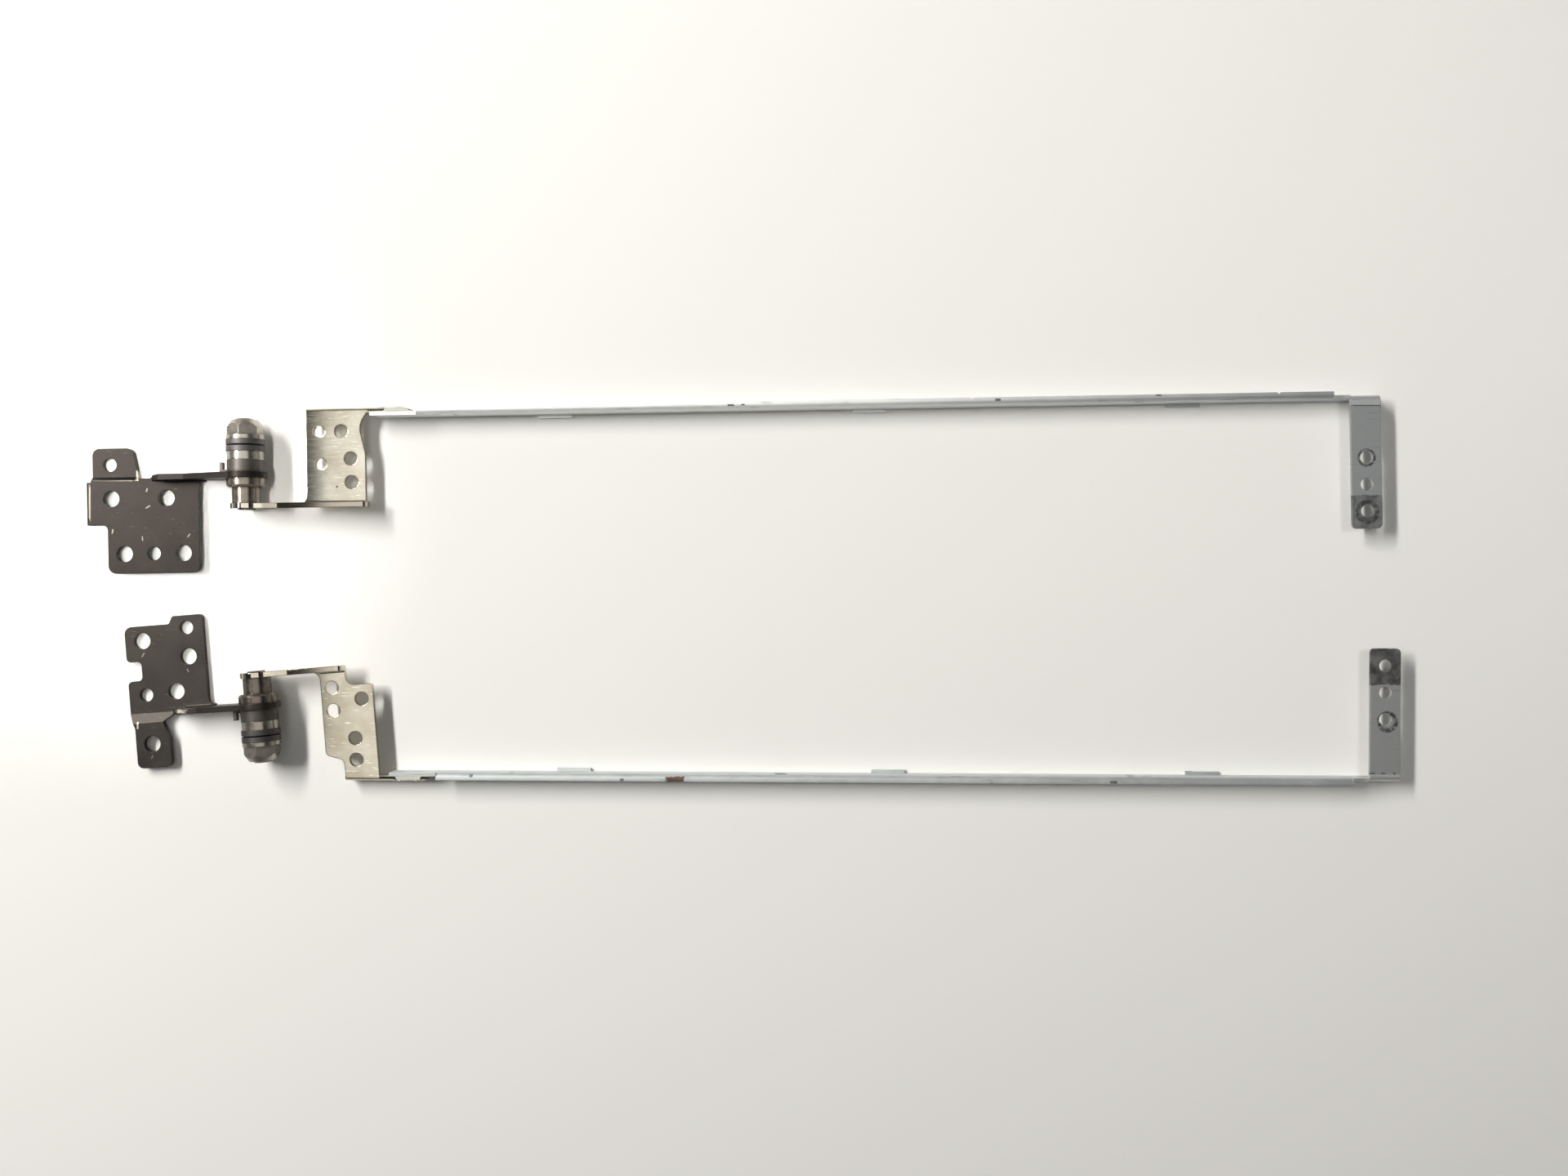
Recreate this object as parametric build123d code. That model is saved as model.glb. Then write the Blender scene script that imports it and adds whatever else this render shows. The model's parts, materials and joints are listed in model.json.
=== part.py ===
"""A pair of laptop lid hinges, lying opened flat.

Each hinge is drawn in its own frame: x runs from the shaft towards the far end of the rail,
y runs outward along the shaft from the inner face of the arm, and z is up from the table.
The right hinge is drawn the same way round and then mirrored. All sizes are in millimetres.
"""

from build123d import *
import os
from math import radians, tan

# Sheet thickness of the three kinds of folded piece
BASE_SHEET = 1.2
SCREEN_SHEET = 1.1
RAIL_SHEET = 0.7
BEND_INSIDE = 0.4

# Shaft, from the staked end to the nut
AXIS_HEIGHT = 4.8
TENON_RADIUS = 1.9
TENON_HALF_FLAT = 1.3
TENON_PROUD = 0.25
NECK_RADIUS = 2.75
NECK_LENGTH = 3.3
COLLAR_RADIUS = 3.8
COLLAR_LENGTH = 1.9
COLLAR_CHAMFER = 0.4
JOURNAL_RADIUS = 2.0
KEY_HALF_FLAT = 1.45
SHAFT_STUB = 0.35
END_CHAMFER = 0.3
RUNNING_CLEARANCE = 0.05
SEAT_CLEARANCE = 0.03

# Washer stack on the shaft
WASHER_RADIUS = 3.65
TABBED_WASHER = 1.1
FRICTION_WASHER = 1.4
WEAR_WASHER = 1.7
THRUST_WASHER = 0.85
THRUST_RADIUS = 3.75
SPRING_RADIUS = 3.8
SPRING_FLAT_RADIUS = 3.3
SPRING_BORE = 2.15
SPRING_SHEET = 1.1
SPRING_RISE = 0.15
NUT_ACROSS_FLATS = 6.2
NUT_HEIGHT = 3.1
NUT_CROWN = 1.5
NUT_CROWN_INSET = 0.9
LUG_WIDTH = 1.3
LUG_REACH = 1.5
LUG_HOOK = 1.5
LUG_SHEET = 0.6
PIP_WIDTH = 0.9
PIP_DEPTH = 0.6

# How far up a ring's radius its blade runs in, and how much of a step its corner radius may take
RING_JOIN = 0.85
STEP_ROUND = 0.9

# Ear that carries the shaft
EAR_RING_RADIUS = 4.2
EAR_RISE = 2.6
EAR_CLEARANCE = 0.5
EAR_SLOPE_START = 12.8

# Screw holes
BASE_SCREW_RADIUS = 1.7
BASE_PIN_RADIUS = 1.4
SCREEN_SCREW_RADIUS = 1.4
SCREEN_PIN_RADIUS = 1.2

# Left base bracket
LEFT_LIFT = 0.9
LEFT_NEAR = 11.0
LEFT_WIDTH = 18.9
LEFT_DEPTH = 12.8
LEFT_CORNER = 1.7
LEFT_LEDGE = 4.5
LEFT_LEDGE_START = -2.65
LEFT_LEDGE_END = 6.2
LEFT_LEDGE_LIP = 1.1
LEFT_LEDGE_ROUND = 0.75
LEFT_TAB_INSET = 1.1
LEFT_TAB_WIDTH = 9.6
LEFT_TAB_TAPER = 1.3
LEFT_TAB_END = 13.3
LEFT_TAB_CORNER = 1.5
LEFT_JOGGLE_START = 6.5
LEFT_JOGGLE_END = 7.3
LEFT_NOTCH = 6.9
LEFT_EAR_START = 20.6
LEFT_EAR_END = 9.2
LEFT_INNER_ROW_FROM_END = 4.1
LEFT_INNER_ROW_FROM_NEAR = 3.3
LEFT_INNER_ROW_FROM_FAR = 3.4
LEFT_OUTER_ROW_FROM_END = 3.45
LEFT_OUTER_ROW_FROM_NEAR = 6.65
LEFT_OUTER_ROW_FROM_LEDGE = 5.3
LEFT_TAB_HOLE_FROM_FAR = 3.6
LEFT_TAB_HOLE_FROM_END = 3.45

# Right base bracket
RIGHT_LIFT = 0.9
RIGHT_NEAR = 11.8
RIGHT_WIDTH = 16.3
RIGHT_DEPTH = 12.85
RIGHT_SHOULDER = 1.6
RIGHT_SHOULDER_AT = 6.2
RIGHT_CORNER = 1.5
RIGHT_NOTCH_FROM = -3.9
RIGHT_NOTCH_TO = 0.1
RIGHT_NOTCH_DEPTH = 3.0
RIGHT_NOTCH_ROUND = 0.9
RIGHT_TAB_WIDTH = 7.0
RIGHT_TAB_INSET = 1.1
RIGHT_TAB_END = 18.2
RIGHT_TAB_CORNER = 1.3
RIGHT_TAB_WAIST = 1.2
RIGHT_JOGGLE_START = 6.9
RIGHT_JOGGLE_END = 8.8
RIGHT_EAR_START = 19.2
RIGHT_EAR_END = 10.0
RIGHT_NEAR_COLUMN = 3.4
RIGHT_NEAR_COLUMN_FROM_END = 2.6
RIGHT_NEAR_COLUMN_PITCH = 6.0
RIGHT_FAR_COLUMN = 3.55
RIGHT_FAR_COLUMN_FROM_END = 4.7
RIGHT_PEG_FROM_NOTCH = 3.0
RIGHT_MIDDLE_HOLE = 6.5
RIGHT_MIDDLE_HOLE_FROM_NOTCH = 2.7
RIGHT_TAB_HOLE_FROM_FAR = 3.3
RIGHT_TAB_HOLE_FROM_END = 4.95

# Screen brackets
PLATE_DROP = 0.6
TONGUE_FOOT = 0.6
TONGUE_OVERLAP = 8.8
TONGUE_TAPER = 2.0
TONGUE_TIP = 0.28
TONGUE_BEND = 0.9
ARM_RING_RADIUS = 3.2
ARM_RISE = 2.3
ARM_OVERHANG = 0.7
PLATE_FILLET = 1.7
LEFT_PLATE_NEAR = 12.1
LEFT_PLATE_FAR = 24.2
LEFT_PLATE_WAIST = 1.3
LEFT_WAIST_FROM_RAIL = 2.65
LEFT_WAIST_LENGTH = 5.8
LEFT_WAIST_ROUND = 3.9
LEFT_RAIL_OFFSET = 19.5
LEFT_RAIL_TURN = 0.0
LEFT_WEB_GAP = 0.55
RIGHT_PLATE_NEAR = 12.6
RIGHT_PLATE_FAR = 23.2
RIGHT_PLATE_STEP = 3.7
RIGHT_PLATE_STEP_AT = 18.3
RIGHT_PLATE_NOTCH = 5.4
RIGHT_PLATE_NOTCH_TO = 4.2
RIGHT_RAIL_OFFSET = 21.3
RIGHT_RAIL_TURN = 4.85
RIGHT_WEB_GAP = 2.2

# Holes in the left screen plate: how far from its near edge and how far in from the rail
LEFT_SCREEN_SCREWS = ((7.2, 3.75), (9.1, 9.4), (9.2, 14.25))
LEFT_SCREEN_PINS = ((2.7, 3.75), (3.0, 10.5))

# Holes in the right screen plate: how far from its near edge, then from its notch or its step
RIGHT_NOTCH_SCREWS = ((2.2, 0.3), (2.2, 5.0), (8.2, 3.0))
RIGHT_STEP_SCREWS = ((6.3, -3.1), (6.2, 1.35))

# Rail, measured along it from the shaft; the lip's notches are measured back from the far tab
WEB_HEIGHT = 4.5
LIP_CLEARANCE = 0.8
LIP_STOP_SHORT = 3.3
LIP_WIDTH = 1.5
LIP_NOTCHES = (77.7, 14.6)
LIP_NOTCH_SIDE = 0.6
FAR_TAB_START = 227.0
FAR_TAB_WIDTH = 6.2
FAR_TAB_LENGTH = 27.5
FAR_TAB_CORNER = 1.0
FAR_HOLE_RADIUS = 1.3
FAR_HOLE_FROM_TIP = 3.6
FAR_HOLE_PITCH = 5.5
FAR_HOLE_COUNT = 3
FIRST_FOOT = 59.4
FOOT_PITCH = 65.4
FOOT_COUNT = 3
FOOT_LENGTH = 7.0
FOOT_REACH = 0.7

# How the two hinges lie on the table
PAIR_SPACING = 33.45
RIGHT_SETBACK = 1.98
LEFT_LAY = 1.0
RIGHT_LAY = 4.5

# Places that follow from the sizes above
PLATE_TOP = WEB_HEIGHT - PLATE_DROP
PLATE_BOTTOM = PLATE_TOP - SCREEN_SHEET
EAR_TOP = 2 * AXIS_HEIGHT - PLATE_TOP - EAR_CLEARANCE
NECK_AT = SCREEN_SHEET
COLLAR_AT = NECK_AT + NECK_LENGTH
EAR_AT = COLLAR_AT + COLLAR_LENGTH
TABBED_AT = EAR_AT + BASE_SHEET
FRICTION_AT = TABBED_AT + TABBED_WASHER
WEAR_AT = FRICTION_AT + FRICTION_WASHER
INNER_SPRING_AT = WEAR_AT + WEAR_WASHER
OUTER_SPRING_AT = INNER_SPRING_AT + SPRING_SHEET + SPRING_RISE
THRUST_AT = OUTER_SPRING_AT + SPRING_SHEET + SPRING_RISE
NUT_AT = THRUST_AT + THRUST_WASHER
SHAFT_END = NUT_AT + NUT_HEIGHT + SHAFT_STUB
PIP_AT = WASHER_RADIUS + LUG_REACH / 2 - LUG_SHEET / 2
LEFT_WEB_START = LEFT_PLATE_FAR + LEFT_PLATE_WAIST / 2 + LEFT_WEB_GAP
RIGHT_WEB_START = RIGHT_PLATE_FAR + RIGHT_WEB_GAP


def outline(corners):
    """A closed face from (x, y, corner radius) triples."""
    points = [(x, y) for x, y, _ in corners]
    radii = [radius for _, _, radius in corners]
    return make_face(FilletPolyline(*points, radius=radii, close=True))


def flat(face, bottom, thickness):
    """A level sheet cut to a face drawn in plan."""
    return extrude(Pos(0, 0, bottom) * face, amount=thickness)


def upright(face, start, thickness):
    """A sheet square to the shaft, cut to a face drawn in x and z."""
    return extrude(Plane.XZ.offset(-start) * face, amount=-thickness)


def turned(profile):
    """A turned piece from (radius, y) points, on the shaft's axis."""
    return Pos(0, 0, AXIS_HEIGHT) * revolve(make_face(Polyline(*profile, close=True)), Axis.Y)


def flatted(radius, half_flat):
    """A round section with two flats, centred on the shaft's axis, in x and z."""
    return Pos(0, AXIS_HEIGHT) * (Circle(radius) & Rectangle(2 * half_flat, 2 * radius))


def drilled(sheet, holes):
    """A level sheet with round holes at (x, y, radius)."""
    for x, y, radius in holes:
        sheet -= Pos(x, y, AXIS_HEIGHT) * Cylinder(radius, 4 * AXIS_HEIGHT)
    return sheet


def fold_sliver(y, z, radius, dy, dz, start, end):
    """What lies between a square fold along x and its rounding; dy and dz point from the corner."""
    square = Pos(y + dy * radius / 2, z + dz * radius / 2) * Rectangle(radius, radius)
    sliver = square - Pos(y + dy * radius, z + dz * radius) * Circle(radius)
    return extrude(Plane.YZ.offset(start) * sliver, amount=end - start)


def hinge_shaft():
    collar_face = COLLAR_AT + COLLAR_LENGTH
    end_radius = JOURNAL_RADIUS - END_CHAMFER
    shaft = turned([
        (0, -TENON_PROUD),
        (TENON_RADIUS, -TENON_PROUD),
        (TENON_RADIUS, NECK_AT),
        (NECK_RADIUS, NECK_AT),
        (NECK_RADIUS, COLLAR_AT),
        (COLLAR_RADIUS - COLLAR_CHAMFER, COLLAR_AT),
        (COLLAR_RADIUS, COLLAR_AT + COLLAR_CHAMFER),
        (COLLAR_RADIUS, collar_face),
        (JOURNAL_RADIUS, collar_face),
        (JOURNAL_RADIUS, SHAFT_END - END_CHAMFER),
        (end_radius, SHAFT_END),
        (0, SHAFT_END),
    ])
    tenon_waste = Pos(0, AXIS_HEIGHT) * Circle(NECK_RADIUS) - flatted(NECK_RADIUS, TENON_HALF_FLAT)
    key_waste = Pos(0, AXIS_HEIGHT) * Circle(NECK_RADIUS) - flatted(NECK_RADIUS, KEY_HALF_FLAT)
    shaft -= upright(tenon_waste, -TENON_PROUD, NECK_AT + TENON_PROUD)
    shaft -= upright(key_waste, FRICTION_AT, SHAFT_END - FRICTION_AT)
    return shaft


def ring_washer(start, thickness, radius, bore):
    """A flat washer; bore is a face in x and z."""
    disc = Pos(0, AXIS_HEIGHT) * Circle(radius)
    return upright(disc - bore, start, thickness)


def keyed_bore():
    return flatted(JOURNAL_RADIUS + RUNNING_CLEARANCE, KEY_HALF_FLAT + SEAT_CLEARANCE)


def round_bore():
    return Pos(0, AXIS_HEIGHT) * Circle(JOURNAL_RADIUS + RUNNING_CLEARANCE)


def tabbed_washer():
    """The washer beside the ear: its lug lies on the ear, is pinned to it and hooks outward."""
    washer = ring_washer(TABBED_AT, TABBED_WASHER, WASHER_RADIUS, round_bore())
    reach = WASHER_RADIUS + LUG_REACH
    root = (JOURNAL_RADIUS + WASHER_RADIUS) / 2
    tongue = Pos(-(reach + root) / 2, AXIS_HEIGHT) * Rectangle(reach - root, LUG_WIDTH)
    hook = Pos(-reach + LUG_SHEET / 2, AXIS_HEIGHT) * Rectangle(LUG_SHEET, LUG_WIDTH)
    pip = Pos(-PIP_AT, AXIS_HEIGHT) * Rectangle(PIP_WIDTH, PIP_WIDTH)
    lug = upright(tongue, TABBED_AT, LUG_SHEET) + upright(hook, TABBED_AT, LUG_SHEET + LUG_HOOK)
    return washer + lug + upright(pip, TABBED_AT - PIP_DEPTH, PIP_DEPTH)


def disc_spring(start, rim_first):
    """A dished ring: flat round its bore, with a coned rim, which comes first or last."""
    rim, bore = (start, start + SPRING_RISE) if rim_first else (start + SPRING_RISE, start)
    return turned([
        (SPRING_RADIUS, rim),
        (SPRING_RADIUS, rim + SPRING_SHEET),
        (SPRING_FLAT_RADIUS, bore + SPRING_SHEET),
        (SPRING_BORE, bore + SPRING_SHEET),
        (SPRING_BORE, bore),
        (SPRING_FLAT_RADIUS, bore),
    ])


def lock_nut():
    corner_radius = NUT_ACROSS_FLATS / 3 ** 0.5
    end = NUT_AT + NUT_HEIGHT
    hexagon = Pos(0, AXIS_HEIGHT) * RegularPolygon(corner_radius, 6, rotation=30)
    crown = turned([
        (0, NUT_AT),
        (corner_radius, NUT_AT),
        (corner_radius, end - NUT_CROWN),
        (corner_radius - NUT_CROWN_INSET, end),
        (0, end),
    ])
    bore = Pos(0, AXIS_HEIGHT) * Circle(JOURNAL_RADIUS + SEAT_CLEARANCE)
    return (upright(hexagon, NUT_AT, NUT_HEIGHT) & crown) - upright(bore, NUT_AT, NUT_HEIGHT)


def ear(lift, start, end):
    """The upright ear with its ring, from its folded root in the plate to the shaft."""
    join = EAR_RING_RADIUS * RING_JOIN
    blade = make_face(Polyline(
        (-start, lift),
        (-start, lift + BASE_SHEET),
        (-start + EAR_RISE, EAR_TOP),
        (-EAR_SLOPE_START, EAR_TOP),
        (-EAR_RING_RADIUS / 2, AXIS_HEIGHT + join),
        (0, AXIS_HEIGHT),
        (-EAR_RING_RADIUS / 2, AXIS_HEIGHT - join),
        (-end, lift),
        close=True,
    ))
    profile = blade + Pos(0, AXIS_HEIGHT) * Circle(EAR_RING_RADIUS)
    profile -= round_bore()
    slot = PIP_WIDTH + 2 * SEAT_CLEARANCE
    profile -= Pos(-PIP_AT, AXIS_HEIGHT) * Rectangle(slot, slot)
    return upright(profile, EAR_AT, BASE_SHEET)


def stepped_sheet(plan, plate_bottom, tab_bottom, step_start, step_end, split):
    """A sheet cut to a plan: level, but beyond the split the tab steps to another level."""
    box = plan.bounding_box()
    side = make_face(Polyline(
        (box.min.Y, plate_bottom),
        (step_start, plate_bottom),
        (step_end, tab_bottom),
        (box.max.Y, tab_bottom),
        (box.max.Y, tab_bottom + BASE_SHEET),
        (step_end, tab_bottom + BASE_SHEET),
        (step_start, plate_bottom + BASE_SHEET),
        (box.min.Y, plate_bottom + BASE_SHEET),
        close=True,
    ))
    stepped = extrude(Plane.YZ.offset(box.min.X) * side, amount=split - box.min.X)
    level_plan = Pos((split + box.max.X) / 2, box.center().Y) * Rectangle(box.max.X - split, box.size.Y)
    height = max(plate_bottom, tab_bottom) + BASE_SHEET
    return flat(plan, 0, height) & (stepped + flat(level_plan, plate_bottom, BASE_SHEET))


def fold_ear(sheet, lift, start, end):
    """Joins the ear to its plate and rounds the fold inside and outside."""
    bracket = sheet + ear(lift, start, end)
    bracket += fold_sliver(EAR_AT, lift + BASE_SHEET, BEND_INSIDE, -1, 1, EAR_RISE - start, -end)
    return bracket - fold_sliver(EAR_AT + BASE_SHEET, lift, BASE_SHEET + BEND_INSIDE, -1, 1, -start, -end)


def left_base_bracket():
    outer_edge = EAR_AT + BASE_SHEET
    far = -LEFT_NEAR - LEFT_WIDTH
    ledge = far - LEFT_LEDGE
    tab_far = ledge + LEFT_TAB_INSET
    tab_near = tab_far + LEFT_TAB_WIDTH
    notch_round = (outer_edge - LEFT_NOTCH) * STEP_ROUND
    plan = outline([
        (-LEFT_NEAR, -LEFT_DEPTH, LEFT_CORNER),
        (-LEFT_NEAR, EAR_AT, (LEFT_NEAR - LEFT_EAR_END) * STEP_ROUND),
        (-LEFT_EAR_END, EAR_AT, 0),
        (-LEFT_EAR_END, outer_edge, 0),
        (-LEFT_EAR_START, outer_edge, 0),
        (-LEFT_EAR_START, LEFT_NOTCH, notch_round),
        (tab_near, LEFT_NOTCH, notch_round),
        (tab_near - LEFT_TAB_TAPER, LEFT_TAB_END, LEFT_TAB_CORNER),
        (tab_far, LEFT_TAB_END, LEFT_TAB_CORNER),
        (tab_far, LEFT_LEDGE_END, 0),
        (ledge, LEFT_LEDGE_END, 0),
        (ledge, LEFT_LEDGE_START, 0),
        (far, LEFT_LEDGE_START, LEFT_LEDGE_LIP),
        (far, -LEFT_DEPTH, LEFT_CORNER),
    ])
    sheet = stepped_sheet(plan, LEFT_LIFT, 0, LEFT_JOGGLE_START, LEFT_JOGGLE_END, tab_near)
    lip_length = LEFT_LEDGE_END - LEFT_LEDGE_START
    lip_centre = Pos(ledge + LEFT_LEDGE_LIP / 2, LEFT_LEDGE_START + lip_length / 2)
    sheet += flat(lip_centre * Rectangle(LEFT_LEDGE_LIP, lip_length), 0, LEFT_LIFT + BASE_SHEET)
    top = sheet.edges().filter_by(Axis.Y).group_by(Axis.X)[0].sort_by(Axis.Z)[-1]
    sheet = fillet(top, LEFT_LEDGE_ROUND)
    bracket = fold_ear(sheet, LEFT_LIFT, LEFT_EAR_START, LEFT_EAR_END)
    return drilled(bracket, left_base_holes())


def left_base_holes():
    """Two rows of holes across the plate, with a peg hole midway in one, and a hole in the tab."""
    far = -LEFT_NEAR - LEFT_WIDTH
    ledge = far - LEFT_LEDGE
    inner_row = LEFT_INNER_ROW_FROM_END - LEFT_DEPTH
    inner_near = -LEFT_NEAR - LEFT_INNER_ROW_FROM_NEAR
    inner_far = far + LEFT_INNER_ROW_FROM_FAR
    outer_row = LEFT_LEDGE_END - LEFT_OUTER_ROW_FROM_END
    tab_hole = ledge + LEFT_TAB_INSET + LEFT_TAB_HOLE_FROM_FAR
    return [
        (inner_near, inner_row, BASE_SCREW_RADIUS),
        ((inner_near + inner_far) / 2, inner_row, BASE_PIN_RADIUS),
        (inner_far, inner_row, BASE_SCREW_RADIUS),
        (-LEFT_NEAR - LEFT_OUTER_ROW_FROM_NEAR, outer_row, BASE_SCREW_RADIUS),
        (ledge + LEFT_OUTER_ROW_FROM_LEDGE, outer_row, BASE_SCREW_RADIUS),
        (tab_hole, LEFT_TAB_END - LEFT_TAB_HOLE_FROM_END, BASE_PIN_RADIUS),
    ]


def right_base_bracket():
    outer_edge = EAR_AT + BASE_SHEET
    far = -RIGHT_NEAR - RIGHT_WIDTH
    shoulder = -RIGHT_NEAR - RIGHT_SHOULDER_AT
    tab_far = far + RIGHT_TAB_INSET
    tab_near = tab_far + RIGHT_TAB_WIDTH
    plan = outline([
        (-RIGHT_NEAR, -RIGHT_DEPTH, RIGHT_CORNER / 2),
        (-RIGHT_NEAR, EAR_AT, (RIGHT_NEAR - RIGHT_EAR_END) * STEP_ROUND),
        (-RIGHT_EAR_END, EAR_AT, 0),
        (-RIGHT_EAR_END, outer_edge, 0),
        (-RIGHT_EAR_START, outer_edge, 0),
        (tab_near - RIGHT_TAB_WAIST, RIGHT_JOGGLE_END, RIGHT_TAB_WAIST / 2),
        (tab_near, RIGHT_JOGGLE_END + 3 * RIGHT_TAB_WAIST, RIGHT_TAB_WAIST),
        (tab_near, RIGHT_TAB_END, RIGHT_TAB_CORNER),
        (tab_far, RIGHT_TAB_END, RIGHT_TAB_CORNER),
        (tab_far, RIGHT_JOGGLE_END + RIGHT_TAB_INSET, RIGHT_TAB_INSET),
        (far, RIGHT_JOGGLE_START, RIGHT_TAB_INSET),
        (far, RIGHT_NOTCH_TO, RIGHT_NOTCH_ROUND),
        (far + RIGHT_NOTCH_DEPTH, RIGHT_NOTCH_TO, RIGHT_NOTCH_ROUND),
        (far + RIGHT_NOTCH_DEPTH, RIGHT_NOTCH_FROM, RIGHT_NOTCH_ROUND),
        (far, RIGHT_NOTCH_FROM, RIGHT_NOTCH_ROUND),
        (far, RIGHT_SHOULDER - RIGHT_DEPTH, RIGHT_CORNER),
        (shoulder - RIGHT_SHOULDER / 2, RIGHT_SHOULDER - RIGHT_DEPTH, RIGHT_SHOULDER / 3),
        (shoulder, -RIGHT_DEPTH, RIGHT_SHOULDER / 3),
    ])
    sheet = stepped_sheet(plan, 0, RIGHT_LIFT, RIGHT_JOGGLE_START, RIGHT_JOGGLE_END, -RIGHT_EAR_START)
    bracket = fold_ear(sheet, 0, RIGHT_EAR_START, RIGHT_EAR_END)
    return drilled(bracket, right_base_holes())


def right_base_holes():
    """A column of holes by each long edge of the plate, one between them and one in the tab."""
    far = -RIGHT_NEAR - RIGHT_WIDTH
    near_column = -RIGHT_NEAR - RIGHT_NEAR_COLUMN
    near_first = RIGHT_NEAR_COLUMN_FROM_END - RIGHT_DEPTH
    far_column = far + RIGHT_FAR_COLUMN
    middle_y = RIGHT_NOTCH_TO + RIGHT_MIDDLE_HOLE_FROM_NOTCH
    tab_hole = far + RIGHT_TAB_INSET + RIGHT_TAB_HOLE_FROM_FAR
    return [
        (near_column, near_first, BASE_PIN_RADIUS),
        (near_column, near_first + RIGHT_NEAR_COLUMN_PITCH, BASE_SCREW_RADIUS),
        (far_column, RIGHT_FAR_COLUMN_FROM_END - RIGHT_DEPTH, BASE_SCREW_RADIUS),
        (-RIGHT_NEAR - RIGHT_MIDDLE_HOLE, middle_y, BASE_SCREW_RADIUS),
        (far_column, RIGHT_NOTCH_TO + RIGHT_PEG_FROM_NOTCH, BASE_PIN_RADIUS),
        (tab_hole, RIGHT_TAB_END - RIGHT_TAB_HOLE_FROM_END, BASE_SCREW_RADIUS),
    ]


def arm(end):
    """The upright arm from the shaft's ring to the far end of the plate's fold."""
    top = PLATE_TOP + ARM_RISE
    join = ARM_RING_RADIUS * RING_JOIN
    blade = outline([
        (0, AXIS_HEIGHT - join, 0),
        (2 * ARM_RING_RADIUS, PLATE_BOTTOM, ARM_RING_RADIUS),
        (end, PLATE_BOTTOM, 0),
        (end, top, ARM_RISE / 2),
        (2 * ARM_RING_RADIUS, top, ARM_RING_RADIUS),
        (0, AXIS_HEIGHT + join, 0),
    ])
    profile = blade + Pos(0, AXIS_HEIGHT) * Circle(ARM_RING_RADIUS)
    profile -= flatted(TENON_RADIUS + SEAT_CLEARANCE, TENON_HALF_FLAT + SEAT_CLEARANCE)
    return upright(profile, 0, SCREEN_SHEET)


def tongue(start, end):
    """The down-turned flange along the rail, with a tapered tip, in the rail's frame."""
    plan = make_face(Polyline(
        (start, 0),
        (end, 0),
        (end, TONGUE_TIP),
        (end - TONGUE_TAPER, SCREEN_SHEET),
        (start, SCREEN_SHEET),
        close=True,
    ))
    flange = flat(plan, TONGUE_FOOT, PLATE_TOP - TONGUE_FOOT)
    return flange - fold_sliver(SCREEN_SHEET, PLATE_TOP, TONGUE_BEND, -1, -1, start, end)


def left_rail_frame():
    return Pos(0, LEFT_RAIL_OFFSET, 0) * Rot(0, 0, LEFT_RAIL_TURN)


def right_rail_frame():
    return Pos(0, RIGHT_RAIL_OFFSET, 0) * Rot(0, 0, RIGHT_RAIL_TURN)


def folded_plate(plan, fold_start, fold_end, arm_end):
    """A screen plate and its upright arm in one sheet, folded along a stretch of x."""
    plate = flat(plan, PLATE_BOTTOM, SCREEN_SHEET) + arm(arm_end)
    plate += fold_sliver(SCREEN_SHEET, PLATE_TOP, BEND_INSIDE, 1, 1, fold_start, fold_end)
    return plate - fold_sliver(0, PLATE_BOTTOM, SCREEN_SHEET, 1, 1, fold_start, arm_end)


def left_screen_bracket():
    middle = SCREEN_SHEET / 2
    outer = LEFT_RAIL_OFFSET + middle
    root = LEFT_PLATE_NEAR - 2 * PLATE_FILLET
    far = LEFT_PLATE_FAR
    waist = LEFT_RAIL_OFFSET - LEFT_WAIST_FROM_RAIL
    plan = outline([
        (root, middle, 0),
        (root, SCREEN_SHEET, 0),
        (LEFT_PLATE_NEAR, SCREEN_SHEET, PLATE_FILLET),
        (LEFT_PLATE_NEAR, outer, 0),
        (far + LEFT_PLATE_WAIST / 2, outer, 0),
        (far - LEFT_PLATE_WAIST, waist, LEFT_WAIST_ROUND),
        (far, waist - LEFT_WAIST_LENGTH, LEFT_WAIST_ROUND),
        (far, middle, 0),
    ])
    bracket = folded_plate(plan, LEFT_PLATE_NEAR, far, far + ARM_OVERHANG)
    bracket += left_rail_frame() * tongue(LEFT_PLATE_NEAR, LEFT_WEB_START + TONGUE_OVERLAP)
    return drilled(bracket, left_screen_holes())


def left_screen_holes():
    holes = {SCREEN_SCREW_RADIUS: LEFT_SCREEN_SCREWS, SCREEN_PIN_RADIUS: LEFT_SCREEN_PINS}
    return [
        (LEFT_PLATE_NEAR + along, LEFT_RAIL_OFFSET - inward, radius)
        for radius, places in holes.items()
        for along, inward in places
    ]


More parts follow.
